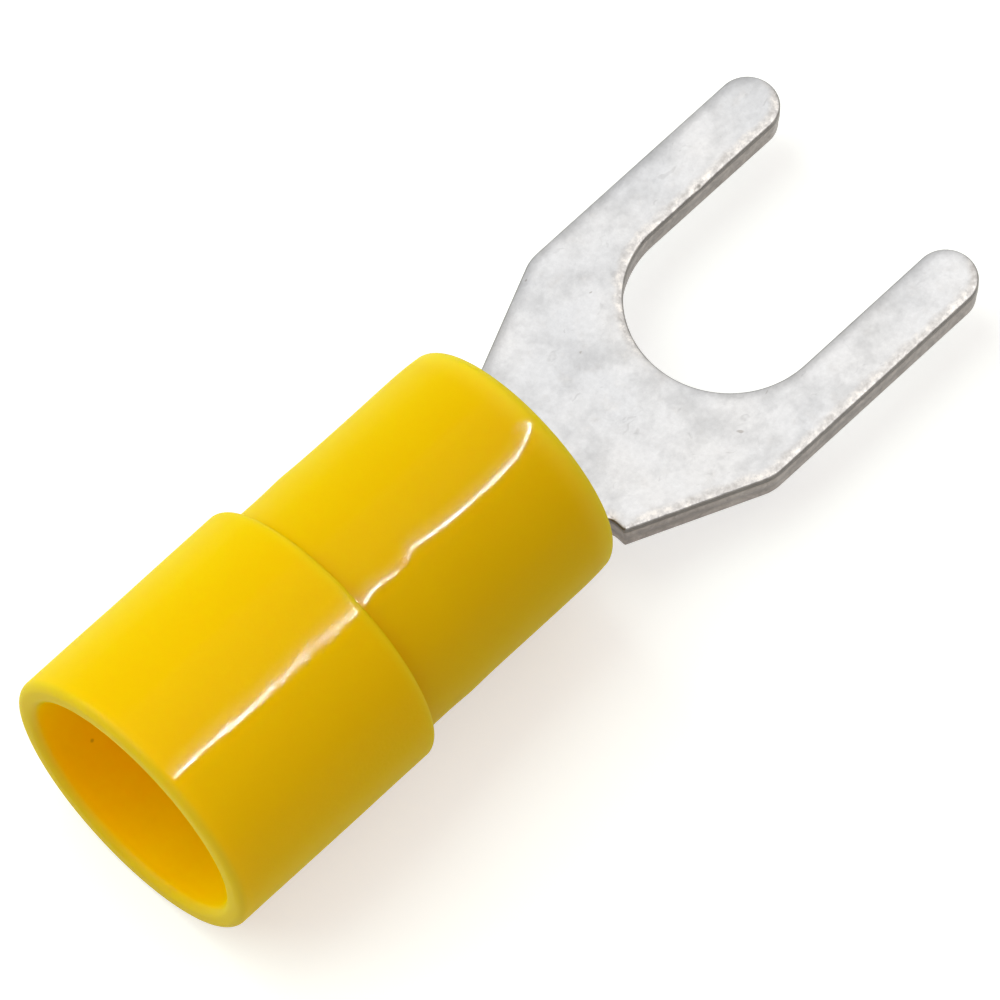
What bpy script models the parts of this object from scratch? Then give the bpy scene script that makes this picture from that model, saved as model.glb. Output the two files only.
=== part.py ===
"""Insulated fork terminal for 4 to 6 square millimetre wire and an M5 stud.

Two pieces: a fork stamped and rolled from one strip of tinned copper, and the
moulded vinyl sleeve pressed over its barrel. X runs along the barrel from the
wire mouth to the prong tips, Z is square to the tongue, and the terminal lies
on Z = 0 with the middle of its length at X = 0.
"""
import math

import bmesh
import bpy

MM = 0.001

# Copper strip and the stud it takes
STOCK_THICKNESS = 1.0 * MM
STUD_SLOT_WIDTH = 5.3 * MM
STUD_SLOT_DEPTH = 7.7 * MM
PRONG_WIDTH = 1.65 * MM

# Palm between the slot and the neck
PALM_LENGTH = 3.8 * MM
ROOT_WIDTH = 5.4 * MM
TAPER_LENGTH = 3.7 * MM
SHOULDER_RADIUS = 1.2 * MM
STAMPED_EDGE = 0.1 * MM

# Neck that flattens out of the barrel wall
NECK_EXPOSED = 1.0 * MM
NECK_WIDTH = 4.0 * MM
NECK_FILLET = 0.4 * MM
NECK_OVERLAP = 0.5 * MM
NECK_THINNING = 0.02 * MM

# Rolled barrel with its butt seam and serrations
BARREL_BORE_RADIUS = 1.8 * MM
BARREL_LENGTH = 6.5 * MM
BARREL_SETBACK = 0.5 * MM
BARREL_LEAD_IN = 0.25 * MM
BARREL_EDGE = 0.1 * MM
SEAM_GAP = 0.12 * MM
SERRATION_COUNT = 3
SERRATION_PITCH = 1.3 * MM
SERRATION_WIDTH = 0.5 * MM
SERRATION_DEPTH = 0.15 * MM

# Vinyl sleeve
SLEEVE_CLEARANCE = 0.1 * MM
SLEEVE_WALL = 0.6 * MM
WIRE_GRIP_LENGTH = 6.55 * MM
WIRE_BORE_RADIUS = 3.25 * MM
WIRE_WALL = 0.65 * MM
BORE_TAPER_LENGTH = 0.45 * MM
STEP_OVERLAP = 0.2 * MM
STEP_RADIUS = 0.35 * MM
STEP_FILLET = 0.06 * MM
MOUTH_ROUND = 0.2 * MM
BORE_ROUND = 0.3 * MM
RIM_ROUND = 0.32 * MM
RIM_INNER_ROUND = 0.1 * MM

# Smoothness
TURN_STEPS = 64
ROUND_SEGMENTS = 4
TIP_SEGMENTS = 14
SLOT_SEGMENTS = 28
NECK_STATIONS = 16
NECK_FACETS = 14

# Places that follow from the sizes
BARREL_RADIUS = BARREL_BORE_RADIUS + STOCK_THICKNESS
MID_RADIUS = BARREL_BORE_RADIUS + STOCK_THICKNESS / 2
SLEEVE_BORE_RADIUS = BARREL_RADIUS + SLEEVE_CLEARANCE
SLEEVE_RADIUS = SLEEVE_BORE_RADIUS + SLEEVE_WALL
WIRE_END_RADIUS = WIRE_BORE_RADIUS + WIRE_WALL
SLEEVE_LENGTH = WIRE_GRIP_LENGTH + BARREL_LENGTH + BARREL_SETBACK
TOTAL_LENGTH = SLEEVE_LENGTH + NECK_EXPOSED + PALM_LENGTH + STUD_SLOT_DEPTH
MOUTH_X = -TOTAL_LENGTH / 2
BARREL_REAR_X = MOUTH_X + WIRE_GRIP_LENGTH
BARREL_FRONT_X = BARREL_REAR_X + BARREL_LENGTH
RIM_X = MOUTH_X + SLEEVE_LENGTH
ROOT_X = RIM_X + NECK_EXPOSED
SHOULDER_X = ROOT_X + TAPER_LENGTH
SLOT_FLOOR_X = ROOT_X + PALM_LENGTH
TIP_X = SLOT_FLOOR_X + STUD_SLOT_DEPTH
FORK_HALF_WIDTH = STUD_SLOT_WIDTH / 2 + PRONG_WIDTH
AXIS_HEIGHT = max(WIRE_END_RADIUS, SLEEVE_RADIUS)
TONGUE_MID_Z = -MID_RADIUS


def arc(centre, radius, start, end, segments):
    """Points on a circular arc, ends included, with angles in degrees."""
    points = []
    for i in range(segments + 1):
        angle = math.radians(start + (end - start) * i / segments)
        points.append((centre[0] + radius * math.cos(angle), centre[1] + radius * math.sin(angle)))
    return points


def round_corner(before, corner, after, radius):
    """Points of the fillet of one corner of a path."""
    if radius <= 0:
        return [corner]
    ax, ay = before[0] - corner[0], before[1] - corner[1]
    bx, by = after[0] - corner[0], after[1] - corner[1]
    la, lb = math.hypot(ax, ay), math.hypot(bx, by)
    ax, ay, bx, by = ax / la, ay / la, bx / lb, by / lb
    half = math.acos(max(-1.0, min(1.0, ax * bx + ay * by))) / 2
    cut = min(radius / math.tan(half), 0.49 * min(la, lb))
    radius = cut * math.tan(half)
    mx, my = ax + bx, ay + by
    lm = math.hypot(mx, my)
    reach = radius / math.sin(half)
    cx, cy = corner[0] + mx / lm * reach, corner[1] + my / lm * reach
    start = math.atan2(corner[1] + ay * cut - cy, corner[0] + ax * cut - cx)
    end = math.atan2(corner[1] + by * cut - cy, corner[0] + bx * cut - cx)
    sweep = (end - start + math.pi) % (2 * math.pi) - math.pi
    points = []
    for i in range(ROUND_SEGMENTS + 1):
        angle = start + sweep * i / ROUND_SEGMENTS
        points.append((cx + radius * math.cos(angle), cy + radius * math.sin(angle)))
    return points


def rounded_path(corners):
    """Closed path through (x, y, fillet radius) corners."""
    points = []
    for i, (x, y, radius) in enumerate(corners):
        before = corners[i - 1][:2]
        after = corners[(i + 1) % len(corners)][:2]
        points.extend(round_corner(before, (x, y), after, radius))
    return points


def new_collection(name):
    collection = bpy.data.collections.new(name)
    bpy.context.scene.collection.children.link(collection)
    return collection


def new_material(name, colour, metallic, roughness):
    material = bpy.data.materials.new(name)
    material.use_nodes = True
    shader = material.node_tree.nodes["Principled BSDF"]
    shader.inputs["Base Color"].default_value = (*colour, 1.0)
    shader.inputs["Metallic"].default_value = metallic
    shader.inputs["Roughness"].default_value = roughness
    material.diffuse_color = (*colour, 1.0)
    return material


def add_object(name, mesh, collection):
    obj = bpy.data.objects.new(name, mesh)
    collection.objects.link(obj)
    return obj


def as_guide(obj):
    """Shows a cutter or a joined shape as a wire only."""
    obj.hide_render = True
    obj.display_type = "WIRE"
    return obj


def turned(name, profile, collection):
    """Profile of (radius, height) points turned about local Z, outer side first."""
    mesh = bpy.data.meshes.new(name)
    count = len(profile)
    edges = [(i, (i + 1) % count) for i in range(count)]
    mesh.from_pydata([(radius, 0.0, height) for radius, height in profile], edges, [])
    obj = add_object(name, mesh, collection)
    screw = obj.modifiers.new("Turn", "SCREW")
    screw.axis = "Z"
    screw.steps = TURN_STEPS
    screw.render_steps = TURN_STEPS
    screw.use_merge_vertices = True
    screw.merge_threshold = 0.001 * MM
    screw.use_smooth_shade = True
    return obj


def lay_along_x(obj, start_x):
    """Turns local Z to world X, with local zero at start_x."""
    obj.rotation_euler = (0.0, math.radians(90), 0.0)
    obj.location = (start_x, 0.0, 0.0)


def sleeve_profile():
    """Section of the sleeve, measured from the wire mouth towards the prongs."""
    step = WIRE_GRIP_LENGTH + STEP_OVERLAP
    return rounded_path([
        (SLEEVE_RADIUS, SLEEVE_LENGTH, RIM_ROUND),
        (SLEEVE_RADIUS, step, STEP_FILLET),
        (WIRE_END_RADIUS, step, STEP_RADIUS),
        (WIRE_END_RADIUS, 0.0, MOUTH_ROUND),
        (WIRE_BORE_RADIUS, 0.0, MOUTH_ROUND),
        (WIRE_BORE_RADIUS, WIRE_GRIP_LENGTH - BORE_TAPER_LENGTH, BORE_ROUND),
        (SLEEVE_BORE_RADIUS, WIRE_GRIP_LENGTH, BORE_ROUND),
        (SLEEVE_BORE_RADIUS, SLEEVE_LENGTH, RIM_INNER_ROUND),
    ])


def barrel_profile():
    """Section of the barrel wall, measured from its wire end."""
    corners = [
        (BARREL_RADIUS, BARREL_LENGTH, BARREL_EDGE),
        (BARREL_RADIUS, 0.0, BARREL_EDGE),
        (BARREL_BORE_RADIUS + BARREL_LEAD_IN, 0.0, 0.0),
        (BARREL_BORE_RADIUS, BARREL_LEAD_IN, 0.0),
    ]
    first = BARREL_LENGTH / 2 - SERRATION_PITCH * (SERRATION_COUNT - 1) / 2
    for i in range(SERRATION_COUNT):
        middle = first + SERRATION_PITCH * i
        floor = BARREL_BORE_RADIUS + SERRATION_DEPTH
        corners.append((BARREL_BORE_RADIUS, middle - SERRATION_WIDTH / 2, 0.0))
        corners.append((floor, middle - SERRATION_WIDTH / 2 + SERRATION_DEPTH / 2, 0.0))
        corners.append((floor, middle + SERRATION_WIDTH / 2 - SERRATION_DEPTH / 2, 0.0))
        corners.append((BARREL_BORE_RADIUS, middle + SERRATION_WIDTH / 2, 0.0))
    corners.append((BARREL_BORE_RADIUS, BARREL_LENGTH, BARREL_EDGE))
    return rounded_path(corners)


def tongue_outline():
    """Fork outline in the plane of the tongue, from the +Y side round to the start."""
    slot_radius = STUD_SLOT_WIDTH / 2
    slot_centre = SLOT_FLOOR_X + slot_radius
    tip_radius = PRONG_WIDTH / 2
    tip_centre = TIP_X - tip_radius
    tip_offset = slot_radius + tip_radius
    root = (ROOT_X, ROOT_WIDTH / 2)
    shoulder = (SHOULDER_X, FORK_HALF_WIDTH)
    right = [(ROOT_X, -ROOT_WIDTH / 2)]
    right += round_corner(right[0], (SHOULDER_X, -FORK_HALF_WIDTH), (tip_centre, -FORK_HALF_WIDTH), SHOULDER_RADIUS)
    right += arc((tip_centre, -tip_offset), tip_radius, -90, 90, TIP_SEGMENTS)
    slot = arc((slot_centre, 0.0), slot_radius, 270, 90, SLOT_SEGMENTS)
    left = arc((tip_centre, tip_offset), tip_radius, -90, 90, TIP_SEGMENTS)
    left += round_corner((tip_centre, FORK_HALF_WIDTH), shoulder, root, SHOULDER_RADIUS)
    left.append(root)
    return right + slot + left


def make_tongue(collection):
    """Flat fork as a filled outline with the strip's thickness."""
    outline = tongue_outline()
    curve = bpy.data.curves.new("tongue_outline", "CURVE")
    curve.dimensions = "2D"
    curve.fill_mode = "BOTH"
    curve.extrude = STOCK_THICKNESS / 2
    spline = curve.splines.new("POLY")
    spline.points.add(len(outline) - 1)
    for point, (x, y) in zip(spline.points, outline):
        point.co = (x, y, 0.0, 1.0)
    spline.use_cyclic_u = True
    guide = add_object("tongue_outline", curve, collection)
    bpy.context.view_layer.update()
    mesh = bpy.data.meshes.new_from_object(guide.evaluated_get(bpy.context.evaluated_depsgraph_get()))
    bpy.data.objects.remove(guide)
    mesh.name = "fork_terminal"
    mesh.materials.clear()
    shape = bmesh.new()
    shape.from_mesh(mesh)
    bmesh.ops.remove_doubles(shape, verts=shape.verts, dist=0.001 * MM)
    bmesh.ops.recalc_face_normals(shape, faces=shape.faces)
    bmesh.ops.translate(shape, verts=shape.verts, vec=(0.0, 0.0, TONGUE_MID_Z))
    shape.to_mesh(mesh)
    shape.free()
    return add_object("fork_terminal", mesh, collection)


def ease(t):
    """Smooth ramp from 0 to 1."""
    t = max(0.0, min(1.0, t))
    return t * t * (3 - 2 * t)


def neck_half_width(x):
    """Half of the developed width, with a fillet where the neck meets the tongue."""
    into_fillet = min(max(x - (ROOT_X - NECK_FILLET), 0.0), NECK_FILLET)
    flare = NECK_FILLET - math.sqrt(NECK_FILLET ** 2 - into_fillet ** 2)
    return NECK_WIDTH / 2 + flare


def neck_section(x):
    """Outer then inner side of the strip at x, which flattens once it is out of the sleeve."""
    curvature = (1 - ease((x - RIM_X) / NECK_EXPOSED)) / MID_RADIUS
    half_width = neck_half_width(x)
    half_thickness = STOCK_THICKNESS / 2 - NECK_THINNING
    outer, inner = [], []
    for i in range(NECK_FACETS + 1):
        along = half_width * (2 * i / NECK_FACETS - 1)
        angle = curvature * along
        if angle:
            y = math.sin(angle) / curvature
            z = TONGUE_MID_Z + (1 - math.cos(angle)) / curvature
        else:
            y = along
            z = TONGUE_MID_Z
        outer.append((x, y + math.sin(angle) * half_thickness, z - math.cos(angle) * half_thickness))
        inner.append((x, y - math.sin(angle) * half_thickness, z + math.cos(angle) * half_thickness))
    return outer + inner[::-1]


def make_neck(collection):
    """Loft of the bent sections, reaching into the barrel wall and the tongue."""
    start = BARREL_FRONT_X - NECK_OVERLAP
    end = ROOT_X + NECK_OVERLAP
    shape = bmesh.new()
    rings = []
    for i in range(NECK_STATIONS + 1):
        x = start + (end - start) * i / NECK_STATIONS
        rings.append([shape.verts.new(point) for point in neck_section(x)])
    for near, far in zip(rings, rings[1:]):
        for i in range(len(near)):
            j = (i + 1) % len(near)
            shape.faces.new((near[i], near[j], far[j], far[i]))
    shape.faces.new(rings[0])
    shape.faces.new(rings[-1])
    bmesh.ops.recalc_face_normals(shape, faces=shape.faces)
    mesh = bpy.data.meshes.new("neck")
    shape.to_mesh(mesh)
    shape.free()
    return as_guide(add_object("neck", mesh, collection))


def make_seam_cutter(collection):
    """Thin box that opens the butt seam along the top of the barrel."""
    shape = bmesh.new()
    bmesh.ops.create_cube(shape, size=1.0)
    size = (BARREL_LENGTH + BARREL_SETBACK, SEAM_GAP, 2 * STOCK_THICKNESS)
    centre = (BARREL_REAR_X + BARREL_LENGTH / 2, 0.0, MID_RADIUS)
    bmesh.ops.scale(shape, verts=shape.verts, vec=size)
    bmesh.ops.translate(shape, verts=shape.verts, vec=centre)
    mesh = bpy.data.meshes.new("seam_cutter")
    shape.to_mesh(mesh)
    shape.free()
    return as_guide(add_object("seam_cutter", mesh, collection))


def add_boolean(obj, tool, operation):
    boolean = obj.modifiers.new(tool.name, "BOOLEAN")
    boolean.operation = operation
    boolean.solver = "EXACT"
    boolean.object = tool


def make_terminal(parts, tools):
    """Stamped fork, bent neck and rolled barrel as one piece of metal."""
    terminal = make_tongue(parts)
    bevel = terminal.modifiers.new("Stamped edge", "BEVEL")
    bevel.width = STAMPED_EDGE
    bevel.segments = 2
    bevel.limit_method = "ANGLE"
    bevel.angle_limit = math.radians(50)
    neck = make_neck(tools)
    barrel = as_guide(turned("barrel", barrel_profile(), tools))
    lay_along_x(barrel, BARREL_REAR_X)
    seam = make_seam_cutter(tools)
    add_boolean(terminal, neck, "UNION")
    add_boolean(terminal, barrel, "UNION")
    add_boolean(terminal, seam, "DIFFERENCE")
    terminal.data.shade_smooth()
    terminal.data.set_sharp_from_angle(angle=math.radians(35))
    terminal.data.materials.append(new_material("tinned_copper", (0.80, 0.80, 0.79), 1.0, 0.32))
    return terminal, [neck, barrel, seam]


def make_sleeve(parts):
    """Turned vinyl sleeve, wide over the wire and narrow over the barrel."""
    sleeve = turned("insulating_sleeve", sleeve_profile(), parts)
    lay_along_x(sleeve, MOUTH_X)
    sleeve.data.materials.append(new_material("yellow_vinyl", (0.84, 0.60, 0.01), 0.0, 0.3))
    return sleeve


def main():
    for obj in list(bpy.data.objects):
        bpy.data.objects.remove(obj)
    parts = new_collection("insulated_fork_terminal")
    tools = new_collection("construction")
    axis = bpy.data.objects.new("barrel_axis", None)
    axis.empty_display_size = TOTAL_LENGTH / 4
    axis.location = (0.0, 0.0, AXIS_HEIGHT)
    parts.objects.link(axis)
    sleeve = make_sleeve(parts)
    terminal, guides = make_terminal(parts, tools)
    for obj in [sleeve, terminal, *guides]:
        obj.parent = axis


main()
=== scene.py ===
import math

import bpy
import numpy as np
from bpy.props import FloatProperty, FloatVectorProperty, PointerProperty
from bpy.types import Operator, Panel, PropertyGroup
from mathutils import Matrix, Vector


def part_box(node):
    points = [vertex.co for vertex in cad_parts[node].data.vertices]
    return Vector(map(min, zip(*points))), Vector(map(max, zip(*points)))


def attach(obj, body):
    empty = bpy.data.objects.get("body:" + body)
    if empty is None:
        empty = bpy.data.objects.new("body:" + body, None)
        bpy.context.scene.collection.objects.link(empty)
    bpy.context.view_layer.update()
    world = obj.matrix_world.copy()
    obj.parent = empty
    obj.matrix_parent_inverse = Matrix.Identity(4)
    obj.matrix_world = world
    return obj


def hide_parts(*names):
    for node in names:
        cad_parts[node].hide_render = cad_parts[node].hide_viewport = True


bl_info = {
    "name": "Insulated Fork Terminal",
    "version": (1, 0, 0),
    "blender": (4, 5, 0),
    "location": "3D View > Sidebar > Fork Terminal",
    "description": "Surfaces and finishes of an insulated fork terminal, on a pale studio floor",
    "category": "Add Mesh",
}

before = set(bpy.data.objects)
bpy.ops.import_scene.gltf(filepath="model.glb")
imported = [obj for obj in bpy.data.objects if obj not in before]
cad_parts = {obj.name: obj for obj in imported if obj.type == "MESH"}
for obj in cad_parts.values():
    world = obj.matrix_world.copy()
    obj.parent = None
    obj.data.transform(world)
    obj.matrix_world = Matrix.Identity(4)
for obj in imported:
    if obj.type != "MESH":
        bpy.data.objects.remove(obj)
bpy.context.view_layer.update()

MM = 0.001

# Places read from the frame
SLEEVE_LOW, SLEEVE_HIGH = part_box("insulating_sleeve")
FORK_LOW, FORK_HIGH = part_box("fork_terminal")
MOUTH_X = SLEEVE_LOW.x
RIM_X = SLEEVE_HIGH.x
TIP_X = FORK_HIGH.x
FORK_HALF_WIDTH = FORK_HIGH.y
WIDE_RADIUS = (SLEEVE_HIGH.z - SLEEVE_LOW.z) / 2
AXIS_Z = (SLEEVE_HIGH.z + SLEEVE_LOW.z) / 2
BARREL_RADIUS = (FORK_HIGH.z - FORK_LOW.z) / 2
BARREL_REAR_X = FORK_LOW.x

# Smoothness of the sleeve
TURN_STEPS = 240
FILLET_STEPS = 10
SECTION_SPACING = 0.12 * MM

# Small fixed radii of the sleeve: foot of the outer step, both ends of the inner cone, end of the bore
STEP_FOOT_ROUND = 0.06 * MM
CONE_ROUND = 0.3 * MM
BORE_END_ROUND = 0.1 * MM

# Faint rings round the narrow part, as (distance from the rim, width, share of the swelling)
RINGS = ((5.03 * MM, 0.55 * MM, 1.0), (6.43 * MM, 0.30 * MM, 0.32))
DRAW_IN_REACH = 1.3 * MM

# Grid of the flat blank: columns from its middle outwards, and rows along each stretch of its outline
NECK_COLUMNS = 14
WRAP_COLUMNS = 40
BARREL_ROWS = 64
CENTRE_ROWS = 64
NECK_SIDE_ROWS = 12
NECK_FILLET_ROWS = 9
CORNER_ROWS = 7
TURNING_ROWS = 4
SHOULDER_ROWS = 12
SLOT_ROWS = 30
PRONG_ROWS = 26
TIP_ROWS = 22

# How far behind the slot's floor the rows begin to turn round it, the share of the slanted side with no
# row past the rear corner, and the weight of a sideways step where the middle line's rows are spaced
TURNING_LEAD = 0.75 * MM
CORNER_SHARE = 0.06
SIDEWAYS_WEIGHT = 0.35

# Edge band of the blank, from its flat faces to its outline
BAND_WIDTH = 0.4 * MM
ROLL_STEPS = 10
LIP_STEPS = 6

# Sheared side and broken lower edge, as (inset, height above the strip's middle)
SHEARED_SIDE = np.array([
    (0.0, 0.33), (0.0, 0.26), (0.002, 0.03), (0.012, -0.01), (0.022, -0.05), (0.026, -0.2),
    (0.03, -0.34), (0.034, -0.44), (0.05, -0.48), (0.08, -0.5), (0.2, -0.5), (0.4, -0.5),
]) * MM

# Grooves across the barrel's bore
GROOVE_PLACES = np.array([-1.3, 0.0, 1.3]) * MM
GROOVE_DEPTH = 0.15 * MM
GROOVE_HALF_WIDTH = 0.17 * MM
GROOVE_SLOPE = 0.08 * MM

# Nick in the stamped edge of one prong
NICK = (9.695 * MM, 2.70 * MM, 2.06 * MM)
NICK_SPREAD = (0.11 * MM, 0.075 * MM, 0.13 * MM)
NICK_DEPTH = 0.065 * MM

# Small pip on the narrow part that breaks the line of light, and two dark specks at the wire mouth
PIP = (-4.64 * MM, -1.19 * MM, AXIS_Z + 3.31 * MM)
SLEEVE_SPECKS = ((-12.98 * MM, 2.80 * MM, 5.05 * MM), (-11.76 * MM, 2.61 * MM, 1.96 * MM))

# Stage, with the way from the terminal to each lamp
LAMP_DISTANCE = 0.6
FLOOR_REACH = 3.0
FLOOR_GLOW = 0.54
WARM_SKY = (1.0, 0.88, 0.78)
OVERHEAD_WAY = (0.30, 0.08, 0.93)
KEY_WAY = (-0.32, 0.58, 0.75)
STRIP_WAY = (0.33, -0.192, 0.91)
MOUTH_WAY = (-0.70, -0.45, 0.55)
MOUTH_LAMP_DISTANCE = 27 * MM

# Strength across the strip lamp's width: a bright line with a faint skirt
STRIP_FADE = [(0.0, 1.0), (0.12, 1.0), (0.14, 0.13), (0.30, 0.06), (0.60, 0.02), (1.0, 0.0)]


def length(name, description, default):
    """Length in metres, never negative."""
    return FloatProperty(
        name=name, description=description, default=default, min=0.0, unit="LENGTH", precision=5,
    )


def offset(name, description, default):
    """Length in metres that may be negative."""
    return FloatProperty(name=name, description=description, default=default, unit="LENGTH", precision=5)


def angle(name, description, degrees):
    """Angle, its default given in degrees."""
    return FloatProperty(name=name, description=description, default=math.radians(degrees), subtype="ANGLE")


def amount(name, description, default):
    """Plain number, such as a lamp's strength."""
    return FloatProperty(name=name, description=description, default=default)


def colour(name, description, default):
    """Colour as three linear shares."""
    return FloatVectorProperty(
        name=name, description=description, default=default, min=0.0, max=1.0, size=3, subtype="COLOR",
    )


class SleeveSettings(PropertyGroup):
    """Sizes and colours of the moulded vinyl sleeve."""

    narrow_radius: length("Narrow Radius", "Outer radius over the barrel", 3.5 * MM)
    narrow_bore: length("Narrow Bore", "Inner radius over the barrel", 2.9 * MM)
    wide_radius: length("Wide Radius", "Outer radius over the wire", WIDE_RADIUS)
    wide_bore: length("Wide Bore", "Inner radius over the wire", 3.25 * MM)
    grip_length: length("Grip Length", "From the wire mouth to the outer step", 6.75 * MM)
    bore_length: length("Bore Length", "From the wire mouth to the inner step", 6.55 * MM)
    bore_taper: length("Bore Taper", "Length of the cone inside the step", 0.45 * MM)
    step_round: length("Step Round", "Edge radius of the outer step", 0.35 * MM)
    rim_round: length("Rim Round", "Edge radius at the fork end", 0.32 * MM)
    mouth_round: length("Mouth Round", "Edge radius at the wire mouth", 0.24 * MM)
    squash: length("Squash", "How far the wide part is pressed out of round", 0.05 * MM)
    swelling: length("Swelling", "Height of the faint ring round the narrow part", 0.025 * MM)
    droop: length("Droop", "How far the fork end draws in before its round edge", 0.085 * MM)
    waviness: length("Waviness", "Height of the slight waves all over the moulding", 0.003 * MM)
    vinyl: colour("Vinyl", "Body colour of the vinyl", (0.96, 0.59, 0.0))
    # Painted shade: a darker copy of the vinyl for the narrow part, standing in for the light that the
    # metal barrel behind it takes in
    narrow_painted_shade_vinyl: colour("Backed Vinyl", "Deeper colour with the metal barrel behind", (0.88, 0.548, 0.0))
    # Painted light: a lighter copy of the vinyl inside the wire mouth, standing in for the glow of light
    # that comes through the thin wall
    inside_painted_glow_vinyl: colour("Inner Vinyl", "Colour inside the wire mouth", (1.0, 0.565, 0.0))
    # Painted light: a paler copy of the vinyl at the fork end and along the step's edge, standing in for
    # light through the thin edges
    rim_painted_light_vinyl: colour("Rim Vinyl", "Paler colour at the fork end and the step", (0.98, 0.65, 0.02))
    # Painted shade: a darker copy of the vinyl on the wire mouth's edge, which the lamps light full on
    mouth_painted_shade_vinyl: colour("Mouth Vinyl", "Colour of the wire mouth's edge", (0.69, 0.468, 0.012))


class ForkSettings(PropertyGroup):
    """Sizes and colours of the stamped and rolled metal."""

    thickness: length("Thickness", "Thickness of the copper strip", 1.0 * MM)
    slot_width: length("Slot Width", "Width of the stud slot", 5.3 * MM)
    slot_depth: length("Slot Depth", "From the tips to the slot's floor", 7.7 * MM)
    root_width: length("Root Width", "Width of the tongue at the neck", 5.4 * MM)
    taper_length: length("Taper Length", "From the neck to the shoulders", 3.7 * MM)
    shoulder_round: length("Shoulder Round", "Radius of the shoulders", 1.2 * MM)
    neck_length: length("Neck Length", "Bare neck in front of the sleeve", 1.0 * MM)
    neck_width: length("Neck Width", "Developed width of the neck", 4.0 * MM)
    neck_round: length("Neck Round", "Fillet from the neck to the tongue", 0.4 * MM)
    corner_round: length("Corner Round", "Radius of the tongue's rear corners", 0.1 * MM)
    barrel_setback: length("Barrel Setback", "From the sleeve's rim to the barrel", 0.5 * MM)
    seam_gap: length("Seam Gap", "Opening of the barrel's butt seam", 0.12 * MM)
    roll_width: length("Roll Width", "Width of the rolled-over stamped edge", 0.34 * MM)
    roll_depth: length("Roll Depth", "Depth of the rolled-over stamped edge", 0.04 * MM)
    lip_round: length("Lip Round", "Radius between the rolled edge and the sheared side", 0.045 * MM)
    tin: colour("Tin", "Colour of the tin plate", (0.765, 0.765, 0.77))
    warm_tin: colour("Warm Tin", "Colour of its warmer patches", (0.80, 0.79, 0.78))
    # Burnish colours: real grain, shown mostly on edges that face -Y, towards the glint lamp, where they
    # make a painted highlight
    burnish: colour("Burnish", "Colour of the rolled-over edge", (0.62, 0.595, 0.57))
    burnish_light: colour("Burnish Light", "Colour of its lighter grains", (0.82, 0.775, 0.72))
    burnish_dark: colour("Burnish Dark", "Colour of its darker grains", (0.50, 0.475, 0.45))
    shear: colour("Shear", "Colour of the sheared side", (0.31, 0.275, 0.25))
    # Painted dark reflection: the dark line under the rolled-over edge stands in for the dark surroundings
    # that the edge mirrors
    lip: colour("Lip", "Colour of the painted dark line under the rolled-over edge", (0.07, 0.06, 0.05))


class StageSettings(PropertyGroup):
    """Camera, lamps and floor."""

    elevation: angle("Elevation", "Camera angle above the floor", 64.0775)
    azimuth: angle("Azimuth", "Camera angle from the wire mouth's side", 45.0144)
    roll: angle("Roll", "Camera turn about its own line of sight", -0.2146)
    distance: length("Distance", "From the camera to its target", 320.63 * MM)
    focal_length: amount("Focal Length", "Lens on a 36 mm sensor, in millimetres", 467.21)
    side_offset: offset("Side Offset", "Target moved to the right in the picture", -0.1034 * MM)
    rise: offset("Rise", "Target moved up in the picture", -0.7762 * MM)
    sky: amount("Sky", "Strength of the even light all round", 0.31)
    mirrored_sky: amount("Mirrored Sky", "Strength of the sky as gloss mirrors it", 0.62)
    overhead: amount("Overhead", "Strength of the large lamp above, where 1 is white", 0.66)
    key: amount("Key", "Strength of the lamp from the mouth and +Y side", 2.12)
    mouth_fill: amount("Mouth Fill", "Strength of the soft lamp beside the wire mouth", 1.0)
    bore_fill: amount("Bore Fill", "Strength of the small lamp inside the wire mouth", 1.2)
    strip: amount("Strip", "Strength of the narrow strip lamp, seen in gloss only", 210.0)
    glint: amount("Glint", "Strength of the narrow lamp that catches the metal's edges", 3.2)
    strip_turn: angle("Strip Turn", "Turn of the strip about its own line of sight", 45)
    floor_colour: colour("Floor", "Colour of the floor", (0.74, 0.74, 0.74))


# Surfaces as arrays


def ease(t):
    """Smooth ramp: 3 t squared minus 2 t cubed, held between 0 and 1."""
    t = np.clip(t, 0, 1)
    return t * t * (3 - 2 * t)


def near(x, place, reach, fade):
    """1 close to a place, easing to 0 at the reach over the length of the fade."""
    return ease((reach - np.abs(x - place)) / fade)


def crest(x, place, width):
    """Crested ring: e to the power of minus (distance over width) to the power 1.5."""
    return np.exp(-(np.abs(x - place) / width) ** 1.5)


def steps(start, end, count, ends="neither"):
    """Evenly stepped numbers between two ends, with neither of them or with the one named."""
    t = np.linspace(start, end, count + 2)
    return {"neither": t[1:-1], "start": t[:-1], "end": t[1:]}[ends]


def column(x, y):
    """Places as rows of x and y, where either may be one number for all."""
    x, y = np.broadcast_arrays(x, y)
    return np.stack([x, y], -1).reshape(-1, 2)


def rays(turn):
    """Unit vectors: the cosine and sine of each angle."""
    return column(np.cos(turn), np.sin(turn))


def fillet(before, corner, after, radius):
    """Arc between two straight sides: centre plus radius times the unit vector at evenly stepped angles."""
    before, corner, after = (np.array(p, float) for p in (before, corner, after))
    a, b = before - corner, after - corner
    la, lb = np.linalg.norm(a), np.linalg.norm(b)
    a, b = a / la, b / lb
    half = math.acos(np.clip(a @ b, -1, 1)) / 2
    cut = min(radius / math.tan(half), 0.49 * min(la, lb))
    radius = cut * math.tan(half)
    middle = (a + b) / np.linalg.norm(a + b)
    centre = corner + middle * radius / math.sin(half)
    start, end = corner + a * cut - centre, corner + b * cut - centre
    first = math.atan2(start[1], start[0])
    sweep = (math.atan2(end[1], end[0]) - first + math.pi) % (2 * math.pi) - math.pi
    return centre + radius * rays(first + sweep * np.linspace(0, 1, FILLET_STEPS + 1))


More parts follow.
